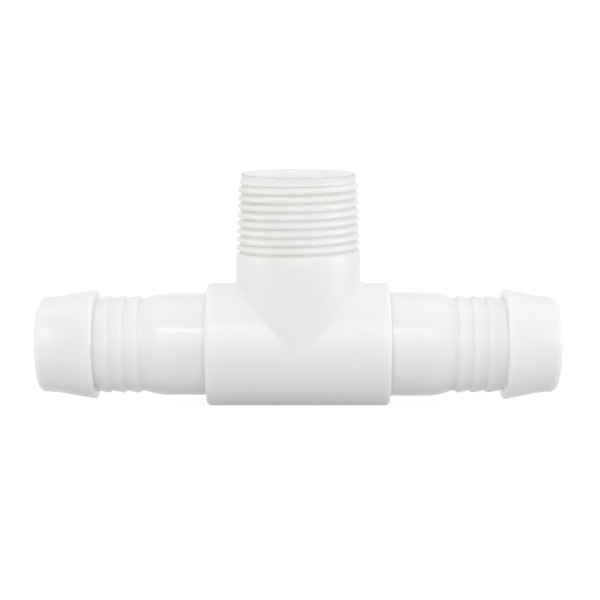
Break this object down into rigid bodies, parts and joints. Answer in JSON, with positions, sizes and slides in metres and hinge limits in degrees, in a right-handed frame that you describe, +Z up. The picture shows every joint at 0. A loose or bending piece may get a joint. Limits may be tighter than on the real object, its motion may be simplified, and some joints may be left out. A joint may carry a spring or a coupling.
{
  "type": "pvc tee fitting",
  "caption": "White plastic hose tee: a moulded sleeve with a tapered male-threaded branch pointing up and a barbed hose insert cemented into each end of the run.",
  "frame": {"origin": "where the axis of the run and the axis of the branch cross, in the middle of the sleeve", "axes": "+X along the run towards the right-hand barb, +Z up the branch axis out of its threaded end, +Y away from the viewer of the picture"},
  "size_m": [0.1142, 0.0274, 0.0514],
  "materials": {
    "body_white": "satin moulded rigid PVC, white",
    "barb_white": "smooth glossy rigid PVC, white",
    "cement": "cured clear solvent cement over white PVC"
  },
  "bodies": {
    "root": {"tee_body": "body_white", "hose_barb_left": "barb_white", "hose_barb_right": "barb_white", "cement_bead_left": "cement", "cement_bead_right": "cement"}
  },
  "joints": []
}
